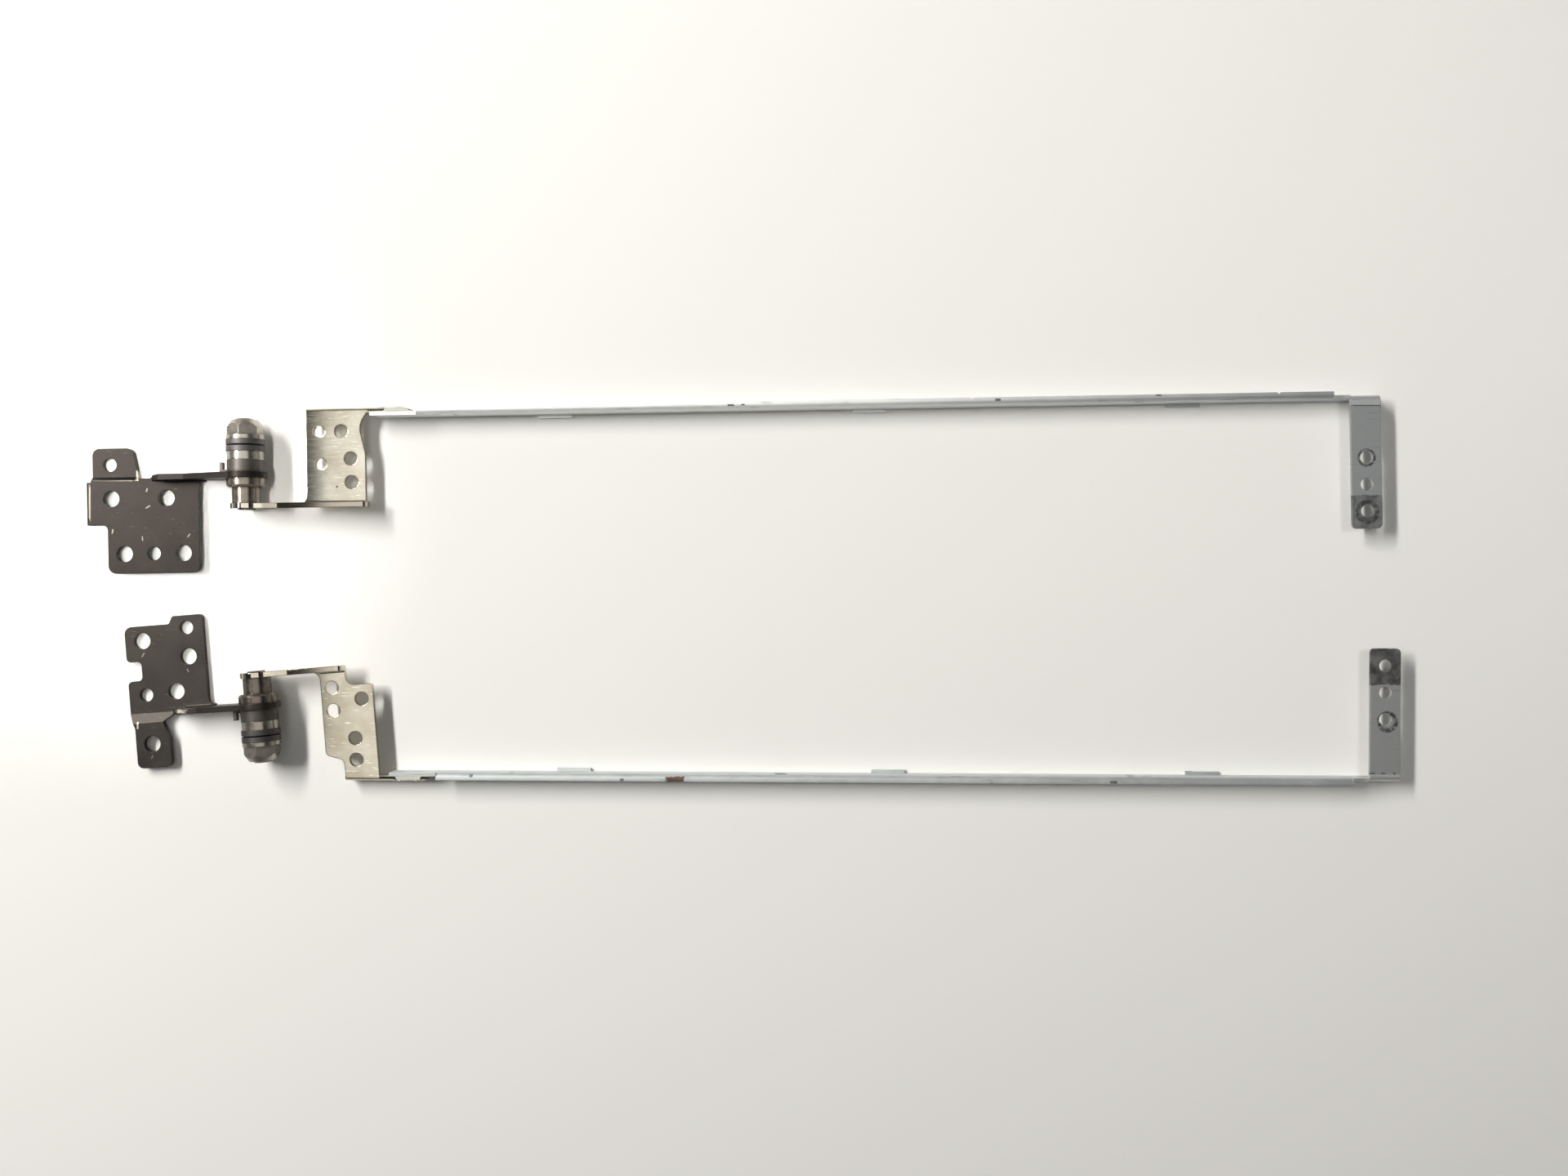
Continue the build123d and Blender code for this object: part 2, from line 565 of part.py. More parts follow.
def right_screen_bracket():
    middle = SCREEN_SHEET / 2
    root = RIGHT_PLATE_NEAR - 2 * PLATE_FILLET
    step = RIGHT_PLATE_NEAR + RIGHT_PLATE_STEP
    slope = tan(radians(RIGHT_RAIL_TURN))
    notch = RIGHT_PLATE_FAR - RIGHT_PLATE_NOTCH
    plan = outline([
        (root, middle, 0),
        (root, SCREEN_SHEET, 0),
        (RIGHT_PLATE_NEAR, SCREEN_SHEET, PLATE_FILLET),
        (RIGHT_PLATE_NEAR, RIGHT_PLATE_STEP_AT, RIGHT_PLATE_STEP / 3),
        (step, RIGHT_PLATE_STEP_AT + RIGHT_PLATE_STEP / 3, RIGHT_PLATE_STEP / 3),
        (step, RIGHT_RAIL_OFFSET + middle + step * slope, 0),
        (RIGHT_PLATE_FAR, RIGHT_RAIL_OFFSET + middle + RIGHT_PLATE_FAR * slope, 0),
        (RIGHT_PLATE_FAR, RIGHT_PLATE_NOTCH_TO, SCREEN_SHEET / 2),
        (notch, RIGHT_PLATE_NOTCH_TO, PLATE_FILLET),
        (notch, middle, 0),
    ])
    bracket = folded_plate(plan, RIGHT_PLATE_NEAR, notch, notch)
    bracket += right_rail_frame() * tongue(step, RIGHT_WEB_START + TONGUE_OVERLAP)
    return drilled(bracket, right_screen_holes())


def right_screen_holes():
    holes = {RIGHT_PLATE_NOTCH_TO: RIGHT_NOTCH_SCREWS, RIGHT_PLATE_STEP_AT: RIGHT_STEP_SCREWS}
    return [
        (RIGHT_PLATE_NEAR + along, level + outward, SCREEN_SCREW_RADIUS)
        for level, places in holes.items()
        for along, outward in places
    ]


def strip(start, end, inner, outer):
    """A rectangle in plan between two places along the rail and two across it."""
    return Pos((start + end) / 2, (inner + outer) / 2) * Rectangle(end - start, outer - inner)


def screen_rail(web_start):
    """The rail in its own frame: y is 0 at the web's outer face."""
    far = FAR_TAB_START + FAR_TAB_WIDTH
    top = WEB_HEIGHT - RAIL_SHEET
    web = flat(strip(web_start, far, -RAIL_SHEET, 0), 0, WEB_HEIGHT)
    lip_start = web_start + TONGUE_OVERLAP + LIP_CLEARANCE
    lip_end = FAR_TAB_START - LIP_STOP_SHORT
    lip_edge = LIP_WIDTH - RAIL_SHEET
    lip_plan = strip(lip_start, lip_end, -RAIL_SHEET, lip_edge)
    notch = Rot(0, 0, 45) * Rectangle(LIP_NOTCH_SIDE, LIP_NOTCH_SIDE)
    for back in LIP_NOTCHES:
        lip_plan -= Pos(FAR_TAB_START - back, lip_edge) * notch
    tab_plan = outline([
        (FAR_TAB_START, 0, 0),
        (far, 0, 0),
        (far, -FAR_TAB_LENGTH, FAR_TAB_CORNER),
        (FAR_TAB_START, -FAR_TAB_LENGTH, FAR_TAB_CORNER),
    ])
    rail = web + flat(lip_plan, top, RAIL_SHEET) + flat(tab_plan, top, RAIL_SHEET)
    bend_outside = RAIL_SHEET + BEND_INSIDE
    rail += fold_sliver(-RAIL_SHEET, top, BEND_INSIDE, -1, -1, FAR_TAB_START, far)
    rail -= fold_sliver(0, WEB_HEIGHT, bend_outside, -1, -1, FAR_TAB_START, far)
    rail += fold_sliver(0, top, BEND_INSIDE, 1, -1, lip_start, lip_end)
    rail -= fold_sliver(-RAIL_SHEET, WEB_HEIGHT, bend_outside, 1, -1, lip_start, lip_end)
    for i in range(FOOT_COUNT):
        start = FIRST_FOOT + i * FOOT_PITCH
        foot = strip(start, start + FOOT_LENGTH, -RAIL_SHEET - FOOT_REACH, -RAIL_SHEET)
        rail += flat(foot, 0, RAIL_SHEET)
    middle = (FAR_TAB_START + far) / 2
    first = FAR_HOLE_FROM_TIP - FAR_TAB_LENGTH
    rows = [first + i * FAR_HOLE_PITCH for i in range(FAR_HOLE_COUNT)]
    return drilled(rail, [(middle, y, FAR_HOLE_RADIUS) for y in rows])


def hinge(base_bracket, bracket, rail):
    """The pieces of one hinge by name, in its own frame."""
    return {
        "base_bracket": base_bracket,
        "tabbed_washer": tabbed_washer(),
        "hinge_shaft": hinge_shaft(),
        "friction_washer": ring_washer(FRICTION_AT, FRICTION_WASHER, WASHER_RADIUS, keyed_bore()),
        "wear_washer": ring_washer(WEAR_AT, WEAR_WASHER, WASHER_RADIUS, keyed_bore()),
        "inner_disc_spring": disc_spring(INNER_SPRING_AT, True),
        "outer_disc_spring": disc_spring(OUTER_SPRING_AT, False),
        "thrust_washer": ring_washer(THRUST_AT, THRUST_WASHER, THRUST_RADIUS, keyed_bore()),
        "lock_nut": lock_nut(),
        "screen_bracket": bracket,
        "screen_rail": rail,
    }


def left_hinge():
    rail = left_rail_frame() * screen_rail(LEFT_WEB_START)
    return hinge(left_base_bracket(), left_screen_bracket(), rail)


def right_hinge():
    rail = right_rail_frame() * screen_rail(RIGHT_WEB_START)
    return hinge(right_base_bracket(), right_screen_bracket(), rail)


def lay_out():
    """Both hinges on the table, with the origin at the bottom centre of the pair's box."""
    left_place = Pos(0, PAIR_SPACING / 2, 0) * Rot(0, 0, LEFT_LAY)
    right_place = Pos(RIGHT_SETBACK, -PAIR_SPACING / 2, 0) * Rot(0, 0, RIGHT_LAY)
    placed = {f"left_{name}": left_place * solid for name, solid in left_hinge().items()}
    for name, solid in right_hinge().items():
        placed[f"right_{name}"] = right_place * mirror(solid, about=Plane.XZ)
    box = Compound(list(placed.values())).bounding_box()
    centre = Pos(-box.center().X, -box.center().Y, -box.min.Z)
    print("left axis", (centre * left_place * Pos(0, 0, AXIS_HEIGHT)).position)
    print("right axis", (centre * right_place * Pos(0, 0, AXIS_HEIGHT)).position)
    return {name: centre * solid for name, solid in placed.items()}


if __name__ == "__main__":
    os.makedirs("parts", exist_ok=True)
    for name, solid in lay_out().items():
        export_step(solid, f"parts/{name}.step")
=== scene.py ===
# %% [markdown]
# # A pair of laptop lid hinges
# Two friction hinges lie opened flat on white paper. Their shapes come ready made and to size,
# one object for each real piece. This lesson gives them a camera, light, a few weld marks, and the
# finish that each metal has on the real pair.

import json
import math

import bmesh
import bpy
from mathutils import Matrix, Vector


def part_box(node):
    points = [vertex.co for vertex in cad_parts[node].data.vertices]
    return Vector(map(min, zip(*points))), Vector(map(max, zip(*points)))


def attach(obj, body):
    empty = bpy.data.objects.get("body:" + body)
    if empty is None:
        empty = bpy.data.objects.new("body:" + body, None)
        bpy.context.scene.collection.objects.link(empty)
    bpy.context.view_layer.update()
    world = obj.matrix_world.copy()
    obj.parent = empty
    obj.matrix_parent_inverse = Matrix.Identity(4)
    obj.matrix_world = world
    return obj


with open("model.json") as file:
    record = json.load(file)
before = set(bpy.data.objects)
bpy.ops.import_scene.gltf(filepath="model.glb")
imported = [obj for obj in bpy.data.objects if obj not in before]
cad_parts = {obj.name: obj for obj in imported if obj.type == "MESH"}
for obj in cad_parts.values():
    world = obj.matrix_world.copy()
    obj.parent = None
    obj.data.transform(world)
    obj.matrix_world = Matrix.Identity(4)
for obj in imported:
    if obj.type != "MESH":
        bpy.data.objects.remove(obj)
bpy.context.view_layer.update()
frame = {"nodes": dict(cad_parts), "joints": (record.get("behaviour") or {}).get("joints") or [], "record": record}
nodes = frame["nodes"]
MM = 0.001
SIDES = ("left", "right")

# %% [markdown]
# The picture looks straight down. A camera is a focal length and a place: the focal length came
# out of the picture as a count of pixels, so it turns into millimetres of lens through the width
# of the sensor. An unrotated camera in Blender already looks down, with +Y up in the picture.

# %% Camera
PICTURE_WIDTH_PX = 1920
FOCAL_PX = 1660
SENSOR_MM = 36.0
CAMERA_PLACE = (9.03 * MM, 0.12 * MM, 283 * MM)

camera_data = bpy.data.cameras.new("camera")
camera_data.sensor_width = SENSOR_MM
camera_data.lens = FOCAL_PX / PICTURE_WIDTH_PX * SENSOR_MM
camera_data.clip_start = 1 * MM
camera = bpy.data.objects.new("camera", camera_data)
camera.location = CAMERA_PLACE
bpy.context.collection.objects.link(camera)
bpy.context.scene.camera = camera
print("lens", round(camera_data.lens, 2), "mm")

# %% [markdown]
# Every finish below is a small graph of nodes. Helpers keep that readable: one turns a colour
# as it is written for the screen into the linear light that shaders work in, and one adds a node
# with its settings and whatever feeds it. The pieces are all bare or plated metal, so one more
# wires a colour, a roughness and a normal to a metal shader.

# %% Helpers for materials
# The numbers of the vector and colour sockets on a Mix node, whose names repeat for each kind of value
MIX_VECTOR_A, MIX_VECTOR_B, MIX_VECTOR_OUT = 4, 5, 1
MIX_A, MIX_B, MIX_OUT = 6, 7, 2


def linear(code):
    """A hex colour for the screen as linear red, green, blue and alpha."""
    channels = [int(code[i:i + 2], 16) / 255 for i in (1, 3, 5)]
    return [c / 12.92 if c <= 0.04045 else ((c + 0.055) / 1.055) ** 2.4 for c in channels] + [1]


def add(tree, kind, feeds, **settings):
    """A new node; feeds gives each input, by name or number, a socket or a plain value."""
    node = tree.nodes.new("ShaderNode" + kind)
    for name, value in settings.items():
        setattr(node, name, value)
    for name, value in feeds.items():
        if isinstance(value, bpy.types.NodeSocket):
            tree.links.new(value, node.inputs[name])
        else:
            node.inputs[name].default_value = value
    return node


def new_material(name):
    """A new material: itself, its tree, its shader and the place on the piece in metres."""
    material = bpy.data.materials.new(name)
    material.use_nodes = True
    tree = material.node_tree
    place = add(tree, "TexCoord", {}).outputs["Object"]
    return material, tree, tree.nodes["Principled BSDF"], place


def bare_metal(tree, shader, tone, roughness, normal):
    """Makes the shader a metal with this colour, roughness and normal."""
    shader.inputs["Metallic"].default_value = 1.0
    for name, socket in (("Base Color", tone), ("Roughness", roughness), ("Normal", normal)):
        tree.links.new(socket, shader.inputs[name])


print("linear mid grey:", [round(c, 3) for c in linear("#808080")])

# %% [markdown]
# The pair lies on a sheet of plain white paper. Paper is matt and slightly warm, and its fibres
# only show as a faint grain, so a bump of a few hundredths of a millimetre is enough. The lamps
# reach only the middle of the sheet, so far from the pair it gets a little glow of its own: that
# keeps it pale up to the wall when the pair is seen from a side.

# %% Paper floor
PAPER_COLOUR = "#F3F2EF"
PAPER_SIZE = 6.0
PAPER_GRAIN = 0.35 * MM
PAPER_RELIEF = 0.02 * MM
PAPER_RELIEF_STRENGTH = 0.4
PAPER_ROUGHNESS = 0.9
PAPER_SPECULAR = 0.2
# Distances from the pair in metres
GLOW_FROM, GLOW_FULL = 0.3, 0.8
PAPER_GLOW = 0.42

paper, tree, shader, place = new_material("white_paper")
shader.inputs["Base Color"].default_value = linear(PAPER_COLOUR)
shader.inputs["Roughness"].default_value = PAPER_ROUGHNESS
shader.inputs["Specular IOR Level"].default_value = PAPER_SPECULAR
grain = add(tree, "TexNoise", {"Vector": place, "Scale": 1 / PAPER_GRAIN})
relief = add(tree, "Bump", {
    "Height": grain.outputs["Fac"], "Distance": PAPER_RELIEF, "Strength": PAPER_RELIEF_STRENGTH,
})
tree.links.new(relief.outputs["Normal"], shader.inputs["Normal"])
shader.inputs["Emission Color"].default_value = linear(PAPER_COLOUR)
away = add(tree, "VectorMath", {0: place}, operation="LENGTH")
glow = add(tree, "MapRange", {
    "Value": away.outputs["Value"], "From Min": GLOW_FROM, "From Max": GLOW_FULL, "To Max": PAPER_GLOW,
})
tree.links.new(glow.outputs["Result"], shader.inputs["Emission Strength"])

bpy.ops.mesh.primitive_plane_add(size=PAPER_SIZE)
floor = bpy.context.object
floor.name = "paper_floor"
floor.data.materials.append(paper)
print("floor", PAPER_SIZE, "m")

# %% [markdown]
# A long narrow lamp hangs to the left and runs towards the far side, so shadows fall to the right:
# crisp across the lamp and soft along it. A wide panel overhead is what the plated faces mirror,
# and its left edge leaves the dark strip on the left plate. One small lamp with a narrow beam hangs
# over the base brackets, where the paper is brightest, and one with a wider beam over the far tabs.
# A studio would use flags and cards to hold light off the paper and not off the metal. Here each
# lamp has one power for what the metal mirrors and one for the paper, which keeps the shadows deep.
# The room has pale walls, which the metal mirrors when it is seen from a side, and a dim ceiling.

# %% Light
# Heights in the room as the sine of the angle above the horizon
WALL_FADES, WALL_ENDS = 0.15, 0.6
WALL_GLOW, CEILING_GLOW = 0.45, 0.03
WALL_COLOUR = "#F2F0EE"
LAMP_COLOUR = "#FFFDF9"
# A lamp for the paper hangs this much above the one for the metal, because of two lamps in one
# place a ray would meet only the first
PAPER_LAMP_ABOVE = 0.01
# Each lamp's place, tilt, size and beam, then its power on the metal and on the paper
LAMPS = {
    "long_lamp": ((-0.47, 0.35, 0.52), -42, (0.06, 0.6), 180, 7.3, 7.8),
    "ceiling_panel": ((0.058, 0.10, 0.9), 0, (0.9, 0.56), 180, 1.85, 0.45),
    "base_lamp": ((-0.128, 0.02, 0.32), 0, (0.06, 0.06), 15, 0, 0.013),
    "tab_lamp": ((0.2, 0.06, 0.6), 0, (0.1, 0.1), 60, 0, 0.06),
}
bpy.context.scene.view_settings.view_transform = "Standard"


def panel(name, place, tilt, size, spread, power):
    """A soft rectangular light; tilt turns it about Y from facing down and spread is its beam's angle."""
    data = bpy.data.lights.new(name, "AREA")
    data.shape = "RECTANGLE"
    data.size, data.size_y = size
    data.spread = math.radians(spread)
    data.energy = power
    data.color = linear(LAMP_COLOUR)[:3]
    lamp = bpy.data.objects.new(name, data)
    lamp.location = place
    lamp.rotation_euler.y = math.radians(tilt)
    bpy.context.collection.objects.link(lamp)
    return lamp


for name, (*form, on_metal, on_paper) in LAMPS.items():
    paper_lamp = panel(f"{name}_on_paper", *form, on_paper)
    paper_lamp.visible_glossy = False
    paper_lamp.location.z += PAPER_LAMP_ABOVE
    if on_metal:
        panel(f"{name}_on_metal", *form, on_metal).visible_diffuse = False
world = bpy.data.worlds.new("pale_room")
world.use_nodes = True
room = world.node_tree.nodes["Background"]
room.inputs["Color"].default_value = linear(WALL_COLOUR)
upward = add(world.node_tree, "SeparateXYZ", {
    "Vector": add(world.node_tree, "TexCoord", {}).outputs["Generated"],
})
glow = add(world.node_tree, "MapRange", {
    "Value": upward.outputs["Z"], "From Min": WALL_FADES, "From Max": WALL_ENDS,
    "To Min": WALL_GLOW, "To Max": CEILING_GLOW,
})
world.node_tree.links.new(glow.outputs["Result"], room.inputs["Strength"])
bpy.context.scene.world = world

# %% [markdown]
# Used metal has marks all over that no even finish has: fine scuffs that run one way, and tiny
# specks. Each is a mask between 0 and 1 that a finish can use to mix a second colour in. Scuffs
# are noise stretched along one direction, and specks are the cores of random cells.

# %% Marks all over
SCUFF_BLUR = 0.05


def scuffs(tree, place, width, length, turn, edge):
    """Thin streaks at an angle, width and length in metres; a higher edge leaves fewer of them."""
    stretched = add(tree, "Mapping", {
        "Vector": place,
        "Rotation": (0, 0, math.radians(turn)),
        "Scale": (1 / length, 1 / width, 1 / length),
    })
    streaks = add(tree, "TexNoise", {"Vector": stretched.outputs["Vector"], "Scale": 1, "Detail": 1})
    return add(tree, "MapRange", {
        "Value": streaks.outputs["Fac"], "From Min": edge, "From Max": edge + SCUFF_BLUR,
    }).outputs["Result"]


def specks(tree, place, spacing, size):
    """Round dots, about one for each cell of that spacing, in metres."""
    cells = add(tree, "TexVoronoi", {"Vector": place, "Scale": 1 / spacing})
    reach = size / spacing
    return add(tree, "MapRange", {
        "Value": cells.outputs["Distance"], "From Min": reach, "From Max": reach / 2,
    }).outputs["Result"]


def either(tree, masks):
    """One mask that is on where any of several is."""
    joined = masks[0]
    for mask in masks[1:]:
        joined = add(tree, "Math", {0: joined, 1: mask}, operation="MAXIMUM").outputs["Value"]
    return joined


def mixed(tree, mask, under, over):
    """One colour laid over another where a mask is on."""
    return add(tree, "Mix", {0: mask, MIX_A: under, MIX_B: over}, data_type="RGBA").outputs[MIX_OUT]


print("marks all over: scuffs, specks")

# %% [markdown]
# Other marks sit at one place: a bend that has been rubbed bright, a block of rust, a ring of dirt
# where a screw head was. A patch compares the distance from its middle with its half size on each
# axis, and noise makes its outline ragged. A ring compares the distance with a radius.

# %% Marks at one place
RAGGED_GRAIN = 0.7 * MM
RAGGED_DETAIL = 3
RING_FADES, RING_SHOWS = 0.3, 0.6


def patch(tree, place, middle, size, turn=0, ragged=0.3, blur=0.15):
    """A box-shaped patch in millimetres, turned by degrees about Z, with a ragged outline."""
    away = add(tree, "VectorMath", {0: place, 1: [c * MM for c in middle]}, operation="SUBTRACT")
    away = add(tree, "VectorRotate", {
        "Vector": away.outputs["Vector"], "Angle": math.radians(-turn),
    }, rotation_type="Z_AXIS")
    away = add(tree, "VectorMath", {0: away.outputs["Vector"]}, operation="ABSOLUTE")
    away = add(tree, "VectorMath", {
        0: away.outputs["Vector"], 1: [s * MM / 2 for s in size],
    }, operation="DIVIDE")
    axes = add(tree, "SeparateXYZ", {"Vector": away.outputs["Vector"]})
    furthest = either(tree, [axes.outputs[axis] for axis in "XYZ"])
    noise = add(tree, "TexNoise", {"Vector": place, "Scale": 1 / RAGGED_GRAIN, "Detail": RAGGED_DETAIL})
    wander = add(tree, "MapRange", {"Value": noise.outputs["Fac"], "To Min": -ragged, "To Max": ragged})
    reach = add(tree, "Math", {0: furthest, 1: wander.outputs["Result"]}, operation="ADD")
    return add(tree, "MapRange", {
        "Value": reach.outputs["Value"], "From Min": 1, "From Max": 1 - blur,
    }).outputs["Result"]


def patches(tree, place, rows):
    """One mask of several patches."""
    return either(tree, [patch(tree, place, *row) for row in rows])


def ring(tree, place, middle, radius, width):
    """A ring of dirt in millimetres, strongest on its line."""
    away = add(tree, "VectorMath", {0: place, 1: [c * MM for c in middle]}, operation="DISTANCE")
    off = add(tree, "Math", {0: away.outputs["Value"], 1: radius * MM}, operation="SUBTRACT")
    off = add(tree, "Math", {0: off.outputs["Value"]}, operation="ABSOLUTE")
    noise = add(tree, "TexNoise", {"Vector": place, "Scale": 1 / RAGGED_GRAIN, "Detail": RAGGED_DETAIL})
    line = add(tree, "MapRange", {
        "Value": off.outputs["Value"], "From Min": width * MM / 2, "From Max": width * MM / 5,
    })
    faded = add(tree, "MapRange", {
        "Value": noise.outputs["Fac"], "From Min": RING_FADES, "From Max": RING_SHOWS,
    })
    return add(tree, "Math", {
        0: line.outputs["Result"], 1: faded.outputs["Result"],
    }, operation="MULTIPLY").outputs["Value"]


print("marks at one place: patch, ring")

# %% [markdown]
# Stamped and turned metal never has a knife edge: tumbling and plating leave a radius of about a
# tenth of a millimetre that catches the light. Real bevels would change the solids, so the shader
# rounds its own normals close to an edge. How far the rounded normal leans away from the flat one
# says how near the edge is, and a noise breaks that up into a ragged band along the edge. On the
# blackened steel and the turned pieces that band is wear; on the nickel and the zinc it is partly
# wear and partly painted shade along the outlines.

# %% Broken edges
EDGE_BAND_GRAIN = 0.9 * MM
# How alike the two normals are where the edge band starts, in its narrowest and widest places, and where it is
# full
EDGE_BAND_STARTS = (0.86, 1.0)
EDGE_BAND_FULL = 0.78


def broken_edges(tree, place, radius):
    """Rounded normals for a radius in millimetres, and a ragged mask of the band along the edge."""
    rounded = add(tree, "Bevel", {"Radius": radius * MM}, samples=6).outputs["Normal"]
    flat = add(tree, "NewGeometry", {}).outputs["Normal"]
    lean = add(tree, "VectorMath", {0: rounded, 1: flat}, operation="DOT_PRODUCT")
    noise = add(tree, "TexNoise", {"Vector": place, "Scale": 1 / EDGE_BAND_GRAIN, "Detail": RAGGED_DETAIL})
    start = add(tree, "MapRange", {
        "Value": noise.outputs["Fac"], "To Min": EDGE_BAND_STARTS[0], "To Max": EDGE_BAND_STARTS[1],
    })
    edge_band = add(tree, "MapRange", {
        "Value": lean.outputs["Value"], "From Min": start.outputs["Result"], "From Max": EDGE_BAND_FULL,
    })
    return rounded, edge_band.outputs["Result"]


print("edges: rounded in the shader")

# %% [markdown]
# Blackened steel: cold-rolled sheet that is blanked, folded and then given a thin black plating.
# It looks dark brown-grey and satin, because the plating keeps the fine grain of the sheet. A few
# nicks show brighter steel, and pale marks on some bends and edges are painted highlights. Both
# base brackets have it.

# %% Blackened steel
BASE_CLOUD = 5 * MM
BASE_GRAIN, BASE_RELIEF = 0.15 * MM, 0.006 * MM
BASE_EDGE_RADIUS = 0.14
# Width, length, direction and rarity of its scuffs, then spacing and size of its specks
BASE_SCUFFS = (0.12 * MM, 1.8 * MM, 62, 0.74)
BASE_SPECKS = (4.5 * MM, 0.10 * MM)
BASE_SHEEN = (0.36, 0.5)
# Tones of scuffs and specks, of nicks and thin painted highlight lines, and of painted highlights
BARE_MARK, NICK_AND_GLINT_TONE, GLINT_TONE = "#6A635C", "#857D75", "#C2B9AD"
BASE_TONES = {"left": ("#2B2826", "#3D3936"), "right": ("#33302E", "#47433F")}
# Middle and size of each mark in millimetres, then its turn, raggedness and blur where they differ
# Painted highlights, where bends and edges of the brackets catch the light
BASE_GLINTS = {
    "left": [((-125.2, 23.4, 1.5), (0.8, 2.2, 3.0)), ((-120.0, 23.1, 2.3), (2.2, 0.9, 1.2), 0, 0.4, 0.5)],
    "right": [((-115.3, -25.2, 5.0), (4.2, 0.9, 6.0), 0, 0.5, 0.6),
              ((-124.9, -28.4, 2.1), (0.35, 1.6, 1.5))],
}
# Nicks; the last two rows on the left are painted highlight lines along the fold and along the ledge
BASE_NICKS_AND_GLINTS = {
    "left": [((-123.0, 20.4, 2.1), (0.3, 0.8, 1.0), -15), ((-122.8, 16.9, 2.1), (0.25, 1.1, 1.0), -60),
             ((-123.9, 10.4, 2.1), (0.25, 1.0, 1.0), 5), ((-114.3, 11.0, 2.1), (0.25, 0.9, 1.0), -35),
             ((-130.1, 11.8, 2.1), (0.3, 1.0, 1.0), -10), ((-130.0, 22.4, 2.1), (9.0, 0.3, 0.8), 0),
             ((-134.85, 17.9, 2.1), (0.4, 7.6, 1.0), 0)],
    "right": [((-124.2, -13.8, 1.2), (0.25, 1.1, 1.0), -30), ((-114.9, -17.0, 1.2), (0.2, 0.8, 1.0), 25),
              ((-121.9, -34.9, 2.1), (0.2, 0.9, 1.0), -20)],
}


def blackened_steel(name, tones, glints, nicks_and_glints):
    """Black plated sheet with its own tones, nicks, and painted highlights on bends and edges."""
    material, tree, shader, place = new_material(name)
    cloud = add(tree, "TexNoise", {"Vector": place, "Scale": 1 / BASE_CLOUD, "Detail": 5}).outputs["Fac"]
    tone = mixed(tree, cloud, *[linear(code) for code in tones])
    normal, edge_band = broken_edges(tree, place, BASE_EDGE_RADIUS)
    marks = either(tree, [
        scuffs(tree, place, *BASE_SCUFFS), specks(tree, place, *BASE_SPECKS), edge_band,
    ])
    tone = mixed(tree, marks, tone, linear(BARE_MARK))
    # Nicks, and thin painted highlight lines
    tone = mixed(tree, patches(tree, place, nicks_and_glints), tone, linear(NICK_AND_GLINT_TONE))
    # Painted highlights on bends and edges
    tone = mixed(tree, patches(tree, place, glints), tone, linear(GLINT_TONE))
    sheen = add(tree, "MapRange", {"Value": cloud, "To Min": BASE_SHEEN[0], "To Max": BASE_SHEEN[1]})
    grain = add(tree, "TexNoise", {"Vector": place, "Scale": 1 / BASE_GRAIN})
    relief = add(tree, "Bump", {
        "Height": grain.outputs["Fac"], "Distance": BASE_RELIEF, "Strength": 0.5, "Normal": normal,
    })
    bare_metal(tree, shader, tone, sheen.outputs["Result"], relief.outputs["Normal"])
    return material


finishes = {}
for side in SIDES:
    finishes[f"{side}_base_bracket"] = blackened_steel(
        f"{side}_blackened_steel", BASE_TONES[side], BASE_GLINTS[side], BASE_NICKS_AND_GLINTS[side])
print("blackened steel on", list(finishes))

# %% [markdown]
# Nickel plate: the screen brackets are folded from the same kind of sheet, then nickel plated. A
# thin nickel coat is warm, pale and almost a mirror. It keeps the faint lines of the rolled sheet,
# has short pale scratches and a few dark pits where the coat has failed. Its edges are darkened,
# partly by wear and partly as painted shade along the outlines. A darker strip runs along the top
# of each arm, beyond the ring that holds the shaft.

# %% Nickel plate
PLATE_CLOUD, PLATE_MOTTLE = 7 * MM, (0.35, 0.65)
PLATE_EDGE_RADIUS = 0.2
PLATE_SCRATCHES, SCRATCH_TONE = (0.16 * MM, 2.4 * MM, 40, 0.68), "#F6F3EA"
# Pits, and the band along edges, which is partly wear and partly painted shade
PLATE_PITS, PIT_AND_EDGE_SHADE = (5.5 * MM, 0.3 * MM), "#746C60"
ROLLED_LINES, ROLLED_RELIEF = (0.09 * MM, 9 * MM, 90, 0.64), 0.002 * MM
PLATE_HAZE, GLINT_HAZE = (0.09, 0.05), 0.15
ARM_EDGE_FROM_SHAFT = (14.0, 0, 1.0)
ARM_EDGE_SIZE = (27.0, 6.0, 2.0)
ARM_EDGE = {"left": "#B9AFA1", "right": "#C6BDAD"}
# A pale bar on the bent top of each tongue is a painted highlight; there the normal is also turned straight up, so
# the bar mirrors the lamps as a flat top would
TONGUE_GLINT = {
    "left": ((-70.9, 36.9, 3.8), (5.4, 1.2, 1.2)),
    "right": ((-68.4, -38.95, 3.8), (5.8, 1.2, 1.2)),
}
TONGUE_GLINT_TONE = {"left": "#CBCCC0", "right": "#F6F4EC"}
PLATE_TONES = {"left": ("#CFC8B6", "#E6E2D4"), "right": ("#BBB3A0", "#D2CCBC")}


